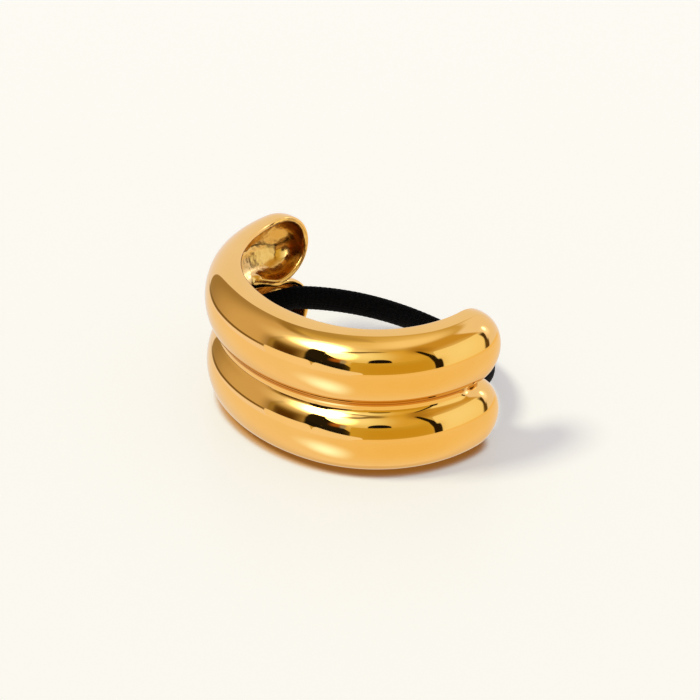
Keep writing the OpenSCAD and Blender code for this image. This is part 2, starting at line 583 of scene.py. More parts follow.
@dataclass(frozen=True)
class DomeWall:
    """Section of one dome's wall, in millimetres.

    A point of the section is (depth outward from the rim, height from the dome's middle).
    """

    half: float = 6.2
    depth: float = 6.0
    overlap: float = 0.6
    corner_r: float = 4.6
    crest_r: float = 8.5
    valley_r: float = 1.5
    wall: float = 0.95
    rim_r: float = 0.45
    crest_steps: int = 8
    corner_steps: int = 20
    fold_steps: int = 7
    rim_steps: int = 5
    flat_steps: int = 2

    @property
    def pitch(self) -> float:
        """Height from one dome's middle to the other's."""
        return 2 * self.half - self.overlap

    @property
    def meeting(self) -> float:
        """Distance from a dome's middle to the level where the two meet."""
        return self.pitch / 2

    @property
    def middle_z(self) -> float:
        """Level where the two domes meet."""
        return self.half + self.meeting

    @property
    def corner(self) -> Vector:
        """Works out the centre of the corner arc.

        Returns:
            The centre in the section.
        """
        high = self.half - self.corner_r
        across = math.sqrt((self.crest_r - self.corner_r) ** 2 - high**2)
        return Vector((self.depth - self.crest_r + across, high))

    @property
    def join(self) -> float:
        """Angle where the crest arc runs into the corner arc."""
        return math.degrees(math.atan2(self.corner.y, self.corner.x - self.depth + self.crest_r))

    @property
    def fold(self) -> Vector:
        """Centre of the fillet in the valley."""
        rise = self.meeting - self.corner.y
        return Vector(
            (self.corner.x + math.sqrt((self.corner_r + self.valley_r) ** 2 - rise**2), self.meeting)
        )

    @property
    def fold_angle(self) -> float:
        """Angle where the corner arc runs into the valley's fillet."""
        centre = self.fold - self.corner
        return math.degrees(math.atan2(centre.y, centre.x))

    @property
    def cut_angle(self) -> float:
        """Angle at which the corner arc reaches the level where the domes meet."""
        return math.degrees(math.asin((self.meeting - self.corner.y) / self.corner_r))


@dataclass
class SectionWire:
    """Draws a wall section as a chain of edges in the plane through the part's middle.

    Level is the height of the dome's middle; toward is 1 for the half above it, -1 for the half below.
    """

    bm: BMesh
    plan: CuffPlan
    level: float
    toward: int
    edges: "list[BMEdge]" = field(default_factory=list)
    tip: "BMVert | None" = None

    def place(self, point: Vector) -> Vector:
        """Position in space of a point of the section."""
        front_y = self.plan.middle_y - self.plan.front_r
        return Vector((0.0, front_y - point.x, self.level + self.toward * point.y))

    def start(self, point: Vector) -> None:
        """Starts the chain at a point of the section."""
        self.tip = self.bm.verts.new(self.place(point))

    def line(self, point: Vector, steps: int = 1) -> None:
        """Draws straight to a point of the section.

        Args:
            point: The point.
            steps: Number of equal edges.
        """
        step = (self.place(point) - self.tip.co) / steps
        for _ in range(steps):
            made = bmesh.ops.extrude_vert_indiv(self.bm, verts=[self.tip])
            self.tip = made["verts"][0]
            self.tip.co += step
            self.edges += made["edges"]

    def turn(self, centre: Vector, angle: float, steps: int) -> None:
        """Turns the chain's end about a centre.

        Args:
            centre: The arc's centre in the section.
            angle: Degrees to turn, positive from outward toward the dome's edge.
            steps: Number of edges in the arc.
        """
        axis = Vector((1.0, 0.0, 0.0))
        made = spin_round(self.bm, [self.tip], self.place(centre), axis, -angle * self.toward, steps)
        self.tip = next(e for e in made if isinstance(e, BMVert))
        chain, vert = [], self.tip
        while len(chain) < steps:
            edge = next(e for e in vert.link_edges if e not in chain)
            chain.append(edge)
            vert = edge.other_vert(vert)
        self.edges += chain


@dataclass
class CuffShell:
    """The cast shell: two domes side by side, open at the back, in millimetres."""

    plan: CuffPlan
    wall: DomeWall
    front_steps: int = 12
    side_steps: int = 72
    end_steps: int = 56
    ridge_rise: float = 3.5
    fold_run: float = 3.2
    weld: float = 0.004
    least_edge: float = 0.001
    cut_weld: float = 1e-5
    gap_sides: int = 8
    crease: float = 40.0

    def outside(self, bm: BMesh, toward: int) -> SectionWire:
        """Draws a dome's outer half, from its crest to the rim or into the valley.

        Args:
            bm: The mesh that takes the chain.
            toward: 1 for the upper half, -1 for the half that meets the other dome.

        Returns:
            The drawn section.
        """
        w = self.wall
        wire = SectionWire(bm, self.plan, w.middle_z + w.meeting, toward)
        wire.start(Vector((w.depth, 0.0)))
        wire.turn(Vector((w.depth - w.crest_r, 0.0)), w.join, w.crest_steps)
        if toward > 0:
            wire.turn(w.corner, 90 - w.join, w.corner_steps)
            wire.line(Vector((w.rim_r, w.half)), w.flat_steps)
            wire.turn(Vector((w.rim_r, w.half - w.rim_r)), 90, w.rim_steps)
            wire.line(Vector((0.0, w.half - w.wall + w.rim_r)))
        else:
            whole = self.steps_to_cut() - w.fold_steps
            wire.turn(w.corner, w.fold_angle - w.join, whole)
            wire.turn(w.fold, -w.fold_angle, w.fold_steps)
        return wire

    def steps_to_cut(self) -> int:
        """Counts the corner arc's edges up to the other dome.

        Returns:
            The count.
        """
        w = self.wall
        step = (90 - w.join) / w.corner_steps
        return int((w.cut_angle - w.join) / step) + 1

    def inside(self, bm: BMesh, toward: int) -> SectionWire:
        """Draws a dome's inner half, from its crest to the rim or over the ridge.

        Args:
            bm: The mesh that takes the chain.
            toward: 1 for the upper half, -1 for the half that meets the other dome.

        Returns:
            The drawn section.
        """
        w = self.wall
        wire = SectionWire(bm, self.plan, w.middle_z + w.meeting, toward)
        wire.start(Vector((w.depth - w.wall, 0.0)))
        wire.turn(Vector((w.depth - w.crest_r, 0.0)), w.join, w.crest_steps)
        if toward > 0:
            wire.turn(w.corner, 90 - w.join, w.corner_steps)
            wire.line(Vector((w.rim_r, w.half - w.wall)), w.flat_steps)
            wire.turn(Vector((w.rim_r, w.half - w.wall + w.rim_r)), -90, w.rim_steps)
        else:
            rest = w.corner_steps + w.flat_steps + w.rim_steps + 1
            wire.turn(w.corner, w.fold_angle - w.join, rest // 2)
            wire.turn(w.fold, -w.fold_angle, rest - rest // 2)
        return wire

    def sweep(self, bm: BMesh, edges: "list[BMEdge]") -> list:
        """Carries a section round the front arc and the right side arc.

        Args:
            bm: The mesh that holds the section.
            edges: The section's edges.

        Returns:
            The section at the right end.
        """
        p = self.plan
        turns = (
            (p.front_centre, p.front_half_angle, self.front_steps),
            (p.side_centre, p.side_angle, self.side_steps),
        )
        last: list = [*corners(edges), *edges]
        for centre, angle, steps in turns:
            last = spin_round(bm, last, centre, UP, angle, steps)
        return last

    def round_end(self, bm: BMesh, section: list) -> None:
        """Turns the end section down about the rim's middle, up to the other dome.

        Args:
            bm: The mesh that holds the section.
            section: The upper half section at the right end.
        """
        p, w = self.plan, self.wall
        before = set(bm.faces)
        centre = p.end_point + (w.middle_z + w.meeting) * UP
        spin_round(bm, section, centre, p.outward(p.total_angle), -180.0, self.end_steps)
        made = [f for f in bm.faces if f not in before]
        edges = list(dict.fromkeys(e for f in made for e in f.edges))
        bmesh.ops.bisect_plane(
            bm,
            geom=[*made, *edges, *corners(edges)],
            dist=self.cut_weld,
            plane_co=(0.0, 0.0, w.middle_z),
            plane_no=(0.0, 0.0, 1.0),
            clear_inner=True,
        )

    def end_share(self, point: Vector, length: float) -> float:
        """Tells how far a point is into a last stretch of the side arc.

        Args:
            point: The point.
            length: The stretch's length.

        Returns:
            The share, from 0 to 1, eased.
        """
        p = self.plan
        from_centre = point - p.side_centre
        angle = math.degrees(math.atan2(from_centre.x, -from_centre.y))
        left = math.radians(p.total_angle - angle) * p.side_r
        share = min(1.0, max(0.0, 1.0 - left / length))
        return share * share * (3 - 2 * share)

    def depth_at(self, point: Vector) -> "tuple[Vector, float]":
        """Measures a point's depth outward from the rim.

        Args:
            point: The point.

        Returns:
            The rim's middle line at the point's station, and the depth.
        """
        p = self.plan
        flat = Vector((point.x, point.y, 0.0))
        from_side = flat - p.side_centre
        angle = math.degrees(math.atan2(from_side.x, -from_side.y))
        centre, radius = p.side_centre, p.side_r
        if angle < p.front_half_angle:
            centre, radius = p.front_centre, p.front_r
        way = (flat - centre).normalized()
        return centre + radius * way, (flat - centre).length - radius

    def shape_half(self, finish: Coat, wire: SectionWire, target: "list[Vector]", run: float) -> None:
        """Sweeps a lower half section and eases it into another one near the end.

        Args:
            finish: The finish of its faces.
            wire: The section along most of the cuff.
            target: The section's points at the end, in the wire's order.
            run: Length over which it changes.
        """
        bm = wire.bm
        before = set(bm.faces)
        layer = bm.verts.layers.int["order"]
        for order, vert in enumerate(self.ordered(wire)):
            vert[layer] = order + 1
        self.sweep(bm, wire.edges)
        made = [f for f in bm.faces if f not in before]
        for vert in dict.fromkeys(v for f in made for v in f.verts):
            share = self.end_share(vert.co, run)
            if share > 0 and vert[layer] > 0:
                goal = target[vert[layer] - 1]
                middle, depth = self.depth_at(vert.co)
                way = (Vector((vert.co.x, vert.co.y, 0.0)) - middle) / (depth or 1.0)
                place = middle + goal.x * way + (wire.level + wire.toward * goal.y) * UP
                vert.co = vert.co.lerp(place, share)
        for face in made:
            face.material_index = finish.value

    @staticmethod
    def ordered(wire: SectionWire) -> "list[BMVert]":
        """Puts a chain's corners in order.

        Args:
            wire: The chain.

        Returns:
            The corners from its crest to its tip.
        """
        chain, used = [wire.tip], set()
        while True:
            ahead = [e for e in chain[-1].link_edges if e not in used]
            if not ahead:
                return chain[::-1]
            used.add(ahead[0])
            chain.append(ahead[0].other_vert(chain[-1]))

    @staticmethod
    def turned(angle: float) -> Vector:
        """Unit direction in the section at an angle from outward."""
        return Vector((math.cos(math.radians(angle)), math.sin(math.radians(angle))))

    def arcs(self, inset: float, count: int) -> "list[Vector]":
        """Points along the crest arc and the start of the corner arc.

        Args:
            inset: Depth below the outer face.
            count: Number of points on the corner arc.

        Returns:
            The points in order.
        """
        w = self.wall
        crest = Vector((w.depth - w.crest_r, 0.0))
        step = (90 - w.join) / w.corner_steps
        turns = [(crest, w.crest_r, w.join * i / w.crest_steps) for i in range(w.crest_steps + 1)]
        turns += [(w.corner, w.corner_r, w.join + step * i) for i in range(1, count + 1)]
        return [centre + (radius - inset) * self.turned(angle) for centre, radius, angle in turns]

    def cut_outside(self) -> "list[Vector]":
        """Outer half section at the end, cut off where the two domes meet."""
        w = self.wall
        return self.arcs(0.0, self.steps_to_cut() - 1) + [w.corner + w.corner_r * self.turned(w.cut_angle)]

    def web_inside(self) -> "list[Vector]":
        """Works out the inner half section at the end, where the ridge stands up to the rim.

        Returns:
            The section's points in order.
        """
        w = self.wall
        inner, flat = w.half - w.wall, w.corner.x - w.rim_r
        points = self.arcs(w.wall, w.corner_steps)
        for i in range(1, w.flat_steps + 1):
            points.append(Vector((w.corner.x - flat * i / w.flat_steps, inner)))
        for i in range(1, w.rim_steps + 1):
            turn = self.turned(90 - 90 * i / w.rim_steps)
            points.append(Vector((w.rim_r, inner + w.rim_r)) - w.rim_r * turn)
        return [*points, Vector((0.0, w.meeting))]

    def build(self) -> Object:
        """Builds the shell: a quarter of it, mirrored up to down and left to right.

        Returns:
            The shell's object.
        """
        bm = bmesh.new()
        bm.verts.layers.int.new("order")
        for finish, draw in ((Coat.POLISHED, self.outside), (Coat.AS_CAST, self.inside)):
            before = set(bm.faces)
            wire = draw(bm, 1)
            end = self.sweep(bm, wire.edges)
            self.round_end(bm, end)
            for face in bm.faces:
                if face not in before:
                    face.material_index = finish.value
        self.shape_half(Coat.POLISHED, self.outside(bm, -1), self.cut_outside(), self.fold_run)
        self.shape_half(Coat.AS_CAST, self.inside(bm, -1), self.web_inside(), self.ridge_rise)
        bmesh.ops.remove_doubles(bm, verts=bm.verts, dist=self.weld)
        level = Matrix.Translation((0.0, 0.0, -self.wall.middle_z))
        mirror_whole(bm, level, "Z", self.weld)
        mirror_whole(bm, Matrix.Identity(4), "X", self.weld)
        bmesh.ops.remove_doubles(bm, verts=bm.verts, dist=self.weld)
        bmesh.ops.dissolve_degenerate(bm, edges=bm.edges, dist=self.least_edge)
        gaps = [e for e in bm.edges if e.is_boundary]
        bmesh.ops.holes_fill(bm, edges=gaps, sides=self.gap_sides)
        return finish_mesh(bm, "cuff_shell_cast", self.crease)

    @staticmethod
    def dress(piece: Object, finishes: "dict[Coat, Material]") -> None:
        """Gives the shell its finishes, in the order of the faces' numbers."""
        for coat in Coat:
            piece.data.materials.append(finishes[coat])


@dataclass
class RetainingBars:
    """Two bent wires that keep the elastic in the lower hollow, in millimetres."""

    plan: CuffPlan
    wall: DomeWall
    diameter: float = 1.1
    angle: float = 55.0
    depth: float = 0.15
    bend_r: float = 1.1
    sides: int = 24
    bend_steps: int = 14
    crease: float = 50.0

    def build(self) -> Object:
        """Bends one wire with spins and extrusions, and mirrors it.

        Returns:
            The two bars' object.
        """
        p, w = self.plan, self.wall
        bm = bmesh.new()
        out = p.outward(self.angle)
        foot = p.side_centre + (p.side_r + self.depth) * out + w.wall / 2 * UP
        made = bmesh.ops.create_circle(bm, cap_ends=True, segments=self.sides, radius=self.diameter / 2)
        bmesh.ops.translate(bm, vec=foot, verts=made["verts"])
        height = w.middle_z - self.bend_r - w.wall / 2
        ring = self.pull(bm, list(bm.edges), height * UP)
        centre = foot + height * UP + self.bend_r * out
        whole = [*corners(ring), *ring]
        bend = spin_round(bm, whole, centre, p.along(self.angle), 90.0, self.bend_steps)
        ring = [g for g in bend if isinstance(g, BMEdge)]
        root = w.fold.x - w.valley_r - w.wall / 2
        ring = self.pull(bm, ring, (root - self.depth - self.bend_r) * out)
        bmesh.ops.edgeloop_fill(bm, edges=ring)
        bmesh.ops.recalc_face_normals(bm, faces=bm.faces)
        mirror_whole(bm, Matrix.Identity(4), "X", 0.0)
        return finish_mesh(bm, "retaining_bars", self.crease)

    @staticmethod
    def dress(piece: Object, finish: Material) -> None:
        """Gives the bars their finish."""
        piece.data.materials.append(finish)

    @staticmethod
    def pull(bm: BMesh, ring: "list[BMEdge]", way: Vector) -> "list[BMEdge]":
        """Draws the wire on in a straight line.

        Args:
            bm: The mesh that holds it.
            ring: The edges at the wire's tip.
            way: How far and where to.

        Returns:
            The edges at the new tip.
        """
        edges, verts = extrude_ring(bm, ring)
        bmesh.ops.translate(bm, vec=way, verts=verts)
        return edges


@dataclass
class ElasticBand:
    """Closed knitted elastic that runs through the lower hollow and round the back, in millimetres."""

    plan: CuffPlan
    wall: DomeWall
    height: float = 4.0
    thickness: float = 2.6
    depth: float = 2.2
    reach: float = 18.9
    leave: float = 18.4
    back_z: float = 3.0
    gap: float = 0.2
    cross_gaps: float = 1.8
    roof_gaps: float = 1.5
    turn_length: float = 11.0
    cross_short: float = 0.35
    fall_lead: float = 2.9
    fall_power: float = 1.13
    turn_handles: Pair = (0.38, 0.46)
    back_handles: Pair = (0.42, 0.62)
    front_points: int = 40
    side_points: int = 60
    back_points: int = 90
    sides: int = 44
    pitch: float = 0.2
    stitch_length: float = 0.9
    stitch_columns: int = 22
    stitch_relief: float = 0.035
    crease: float = 80.0
    route: "list[Vector]" = field(default_factory=list)
    length: float = 0.0
    fall_from: float = 0.0

    def bezier(self, knots: "tuple[Vector, Vector, Vector, Vector]", count: int) -> "list[Vector]":
        """Points on a Bezier curve, without its first.

        Args:
            knots: The curve's end points and handles.
            count: Number of points.

        Returns:
            The points in order.
        """
        a, b, c, d = knots
        points = []
        for i in range(1, count + 1):
            k = i / count
            m = 1 - k
            points.append(m**3 * a + 3 * m * m * k * b + 3 * m * k * k * c + k**3 * d)
        return points

    def half_plan(self) -> "list[Vector]":
        """Right half of the route in plan, from the front to the back.

        Returns:
            Dense points in order.
        """
        p, w = self.plan, self.wall
        turn = p.total_angle - math.degrees(self.turn_length / p.side_r)
        points = []
        for i in range(self.front_points + 1):
            out = p.outward(p.front_half_angle * i / self.front_points)
            points.append(p.front_centre + (p.front_r + self.depth) * out)
        for i in range(1, self.side_points + 1):
            out = p.outward(p.front_half_angle + (turn - p.front_half_angle) * i / self.side_points)
            points.append(p.side_centre + (p.side_r + self.depth) * out)
        inward = self.thickness / 2 + self.cross_gaps * self.gap
        cross = p.end_point - inward * p.outward(p.total_angle)
        cross += (w.half - w.wall - self.cross_short) * p.along(p.total_angle)
        leave = -p.outward(self.leave)
        start = points[-1]
        reach = (cross - start).length
        first, second = self.turn_handles
        handles = start + first * reach * p.along(turn), cross - second * reach * leave
        points += self.bezier((start, *handles, cross), self.side_points)
        back = Vector((0.0, p.end_point.y + self.reach, 0.0))
        first, second = self.back_handles
        handles = cross + first * self.reach * leave, back + Vector((second * cross.x, 0.0, 0.0))
        points += self.bezier((cross, *handles, back), self.back_points)
        self.fall_from = cross.y - self.fall_lead
        return points

    def lay_route(self) -> None:
        """Works out the whole loop at an even pitch, in millimetres."""
        w = self.wall
        half = self.half_plan()
        roof = w.corner.y + math.sqrt((w.corner_r - w.wall) ** 2 - (self.depth - w.corner.x) ** 2)
        front_z = w.half + roof - self.roof_gaps * self.gap - self.height / 2
        back_y = half[-1].y
        lifted = []
        for point in half:
            fall = max(0.0, (point.y - self.fall_from) / (back_y - self.fall_from)) ** self.fall_power
            lifted.append(Vector((point.x, point.y, front_z + (self.back_z - front_z) * fall)))
        loop = lifted + [Vector((-q.x, q.y, q.z)) for q in lifted[-2:0:-1]]
        self.route = self.evenly(loop)

    def evenly(self, loop: "list[Vector]") -> "list[Vector]":
        """Points at equal distances round a closed loop.

        Args:
            loop: Dense points of the loop.

        Returns:
            Points about one pitch apart.
        """
        lengths = [0.0]
        for i, point in enumerate(loop):
            lengths.append(lengths[-1] + (loop[(i + 1) % len(loop)] - point).length)
        self.length = lengths[-1]
        repeats = round(self.length / self.stitch_length)
        count = repeats * round(self.stitch_length / self.pitch)
        points, seek = [], 0
        for i in range(count):
            goal = self.length * i / count
            while lengths[seek + 1] < goal:
                seek += 1
            share = (goal - lengths[seek]) / (lengths[seek + 1] - lengths[seek])
            points.append(loop[seek].lerp(loop[(seek + 1) % len(loop)], share))
        return points

    def stations(self) -> "list[Matrix]":
        """Works out the section's place and turn at each point of the route.

        Returns:
            A matrix for each point.
        """
        places = []
        count = len(self.route)
        for i, point in enumerate(self.route):
            along = (self.route[(i + 1) % count] - self.route[i - 1]).normalized()
            out = along.cross(UP).normalized()
            rise = out.cross(along)
            turn = Matrix((out, rise, along)).transposed().to_4x4()
            places.append(Matrix.Translation(point) @ turn)
        return places

    def relief(self, station: int, side: int) -> float:
        """Works out the stitches' height.

        Args:
            station: Number of the point on the route.
            side: Number of the section's corner.

        Returns:
            The height, from -1 to 1.
        """
        rows = round(self.stitch_length / self.pitch)
        around = 2 * math.pi * self.stitch_columns * side / self.sides
        along = 2 * math.pi * station / rows
        return math.cos(around) * 0.5 + math.sin(along + math.pi / 2 * math.sin(around)) * 0.5

    def build(self) -> Object:
        """Carries an oval round the route and closes it on itself.

        Returns:
            The band's object, with its weave laid out in a UV map.
        """
        self.lay_route()
        places = self.stations()
        bm = bmesh.new()
        bmesh.ops.create_circle(bm, segments=self.sides, radius=1.0)
        bmesh.ops.scale(bm, vec=(self.thickness / 2, self.height / 2, 1.0), verts=bm.verts)
        bm.verts.ensure_lookup_table()
        first = list(bm.verts)
        bmesh.ops.transform(bm, matrix=places[0], verts=first)
        rings, edges = [first], list(bm.edges)
        for before, after in zip(places, places[1:]):
            edges, verts = extrude_ring(bm, edges)
            bmesh.ops.transform(bm, matrix=after @ before.inverted(), verts=verts)
            new = set(verts)
            rings.append([self.above(vert, new) for vert in rings[-1]])
        tips = set(rings[0]), set(rings[-1])
        ends = [e for e in bm.edges if any(set(e.verts) <= tip for tip in tips)]
        bmesh.ops.bridge_loops(bm, edges=ends)
        for station, ring in enumerate(rings):
            centre = places[station].translation
            for side, vert in enumerate(ring):
                way = (vert.co - centre).normalized()
                vert.co += way * self.stitch_relief * (self.relief(station, side) + 1.0)
        self.lay_weave(bm, rings)
        return finish_mesh(bm, "elastic_knit", self.crease)

    @staticmethod
    def dress(piece: Object, finish: Material) -> None:
        """Gives the band its knitted finish."""
        piece.data.materials.append(finish)

    @staticmethod
    def above(vert: BMVert, ring: "set[BMVert]") -> BMVert:
        """The corner of a newer ring that a corner was extruded to."""
        return next(e.other_vert(vert) for e in vert.link_edges if e.other_vert(vert) in ring)

    def lay_weave(self, bm: BMesh, rings: list) -> None:
        """Writes the weave's UV map: millimetres along, share of the way around.

        Args:
            bm: The band's mesh.
            rings: Its rings of corners in order.
        """
        layer = bm.loops.layers.uv.new("weave")
        count, sides = len(rings), self.sides
        where = {v: (i, k) for i, ring in enumerate(rings) for k, v in enumerate(ring)}
        for face in bm.faces:
            spots = [where[loop.vert] for loop in face.loops]
            wraps = max(s[0] for s in spots) - min(s[0] for s in spots) > 1
            turns = max(s[1] for s in spots) - min(s[1] for s in spots) > 1
            for loop, (i, k) in zip(face.loops, spots):
                station = count if wraps and i == 0 else i
                side = sides if turns and k == 0 else k
                loop[layer].uv = (station * self.length / count, side / sides)


# ---- studio ----


@dataclass(frozen=True)
class Panel:
    """A soft-edged panel of the studio, placed by direction, in degrees.

    Across is measured from straight ahead toward the right, up is measured from level.
    """

    name: str
    across: float
    up: float
    half_width: float
    half_height: float
    tilt: float
    squareness: float
    softness: float
    colour: RGB
    ground: bool = False


# What the metal reflects, each row laid over those before it.
# name, across, up, half width, half height, tilt, squareness, softness, colour, only below the horizon
PANEL_ROWS = (
    ("overhead", 0, 82, 190, 18, 0, 8, 0.4, (0.84, 0.76, 0.5)),
    ("overhead_left", -90, 70, 55, 16, 0, 3, 0.6, (0.62, 0.52, 0.22)),
    ("overhead_right", 110, 74, 60, 12, 0, 3, 0.7, (0.98, 0.95, 0.85)),
    ("left_flat", -65, 20, 36, 36, 0, 5, 0.015, (0.65, 0.54, 0.38)),
    ("left_flat_low", -63, -4, 34, 12, 8, 14, 0.015, (0.65, 0.54, 0.38)),
    ("left_flat_shade", -96, 12, 22, 60, 0, 4, 0.9, (0.36, 0.28, 0.15)),
    ("left_band", -66, 57.5, 40, 3, 0, 3, 0.8, (0.34, 0.25, 0.1)),
    ("left_wall", -130, 10, 33, 50, 0, 10, 0.015, (0.88, 0.9, 1.05)),
    ("centre", 56, 10, 32, 43, 0, 4, 0.015, (0.63, 0.48, 0.09)),
    ("centre_high", 50, 31, 33, 21, 0, 4, 0.25, (0.72, 0.55, 0.14)),
    ("centre_glow", 33, 34, 20, 20, 0, 2, 0.95, (1.0, 1.1, 0.95)),
    ("right_high", 112, 44, 30, 16, 0, 4, 0.25, (0.6, 0.42, 0.1)),
    ("right_high_shade", 84, 44, 9, 11, 0, 2, 0.9, (0.42, 0.27, 0.05)),
    ("right_low", 112, 4, 22, 25, 0, 12, 0.02, (0.97, 0.96, 0.75)),
    ("right_low_glow", 112, 10, 16, 18, 0, 2.5, 0.9, (0.99, 1.05, 0.95)),
    ("back_wall", 166, 15, 31, 40, 0, 8, 0.06, (0.9, 0.9, 1.05)),
    ("back_glow", 148, 20, 8, 11, 0, 2, 0.8, (1.2, 1.3, 1.8)),
    ("back_spot", 147, 26, 4, 6, 0, 2, 0.5, (3.5, 3.6, 4.5)),
    ("side_drop", -19, 13, 11.5, 26, 0, 8, 0.03, (0.62, 0.5, 0.22)),
    ("side_drop_shade", -19, -4, 11.5, 22, 0, 6, 0.7, (0.09, 0.045, 0.008)),
    ("side_drop_edge", -28.5, 24, 1.6, 32, 0, 4, 0.7, (0.34, 0.26, 0.1)),
    ("key_halo", -2, 46, 31, 20, 0, 2.4, 0.8, (1.15, 1.2, 1.3)),
    ("key", -4, 47, 20, 15, 0, 2.6, 0.55, (4.6, 4.6, 4.8)),
    ("key_low", 15, 30, 13, 11, -10, 3, 0.5, (3.6, 3.6, 3.2)),
    ("key_core", 0, 45, 14, 11, 0, 2.4, 0.7, (18.0, 16.0, 13.0)),
    ("card_post", -0.5, 16, 6.8, 16.5, 0, 5, 0.12, (0.02, 0.016, 0.012)),
    ("card_side", 10, 10.5, 21, 7.5, -50, 8, 0.06, (0.02, 0.016, 0.012)),
    ("card_foot", 10, -1.6, 17.5, 3.8, -15, 10, 0.06, (0.013, 0.012, 0.012)),
    ("card_red", 17.5, 11.5, 5.5, 3.2, 0, 3, 0.6, (0.4, 0.15, 0.03)),
    ("card_grey", 21.5, 10.5, 2, 3.2, 0, 3, 0.6, (0.4, 0.42, 0.5)),
    ("lamp_head", 48.5, 13, 8.8, 9.5, 0, 2, 0.06, (0.01, 0.008, 0.01)),
    ("lamp_shelf", 52, 2.5, 24.5, 10, 0, 14, 0.02, (0.63, 0.49, 0.1)),
    ("shelf_shade", 62, -2, 26, 10, 0, 4, 0.6, (0.6, 0.42, 0.05)),
    ("boom", 30, 47, 15, 2.4, 20, 2.4, 0.6, (0.12, 0.09, 0.04)),
    ("boom_tip", 45, 50.5, 9, 1.8, 2, 2.4, 0.7, (0.26, 0.2, 0.08)),
    ("stand", 86, 18, 2.2, 24, 13, 5, 0.15, (0.02, 0.014, 0.005)),
    ("stand_foot", 91.5, -5, 3.2, 10.5, 5, 5, 0.15, (0.02, 0.014, 0.005)),
    ("slit", 134, 5, 2.6, 18, 0, 5, 0.25, (0.06, 0.04, 0.01)),
    ("slit_foot", 136, -7, 4.5, 7, 0, 4, 0.4, (0.12, 0.08, 0.02)),
    ("floor_left", -85, -52.4, 70, 36, 7.5, 14, 0.006, (0.95, 0.96, 1.3)),
    ("skirt", -64, -11.4, 35, 1.5, 7.5, 12, 0.3, (0.2, 0.14, 0.05)),
    ("floor_side", -14.5, -32.8, 15.5, 30, 7, 14, 0.008, (0.97, 0.93, 0.95)),
    ("floor_front", 12, -34.5, 19, 30, -13, 14, 0.008, (0.97, 0.95, 1.0)),
    ("floor_right", 107, -52.5, 80, 40, 0, 14, 0.006, (0.94, 0.8, 0.52)),
    ("floor_rest", 0, -59, 200, 42, 0, 14, 0.04, (0.95, 0.88, 0.82)),
    ("floor_warm", 70, -40, 60, 30, 0, 3, 0.8, (0.93, 0.79, 0.48), True),
    ("floor_pale", -125, -42, 44, 40, 0, 2, 0.8, (0.87, 0.88, 0.92), True),
    ("floor_glow", 1, -48, 15, 12, 0, 2, 0.95, (1.2, 1.7, 2.6), True),
    # Painted shade: the shadowed floor under the cuff, as the metal's lowest edges reflect it.
    ("floor_contact_shade", -134, -66, 60, 26, 0, 2, 0.7, (0.76, 0.63, 0.42)),
)


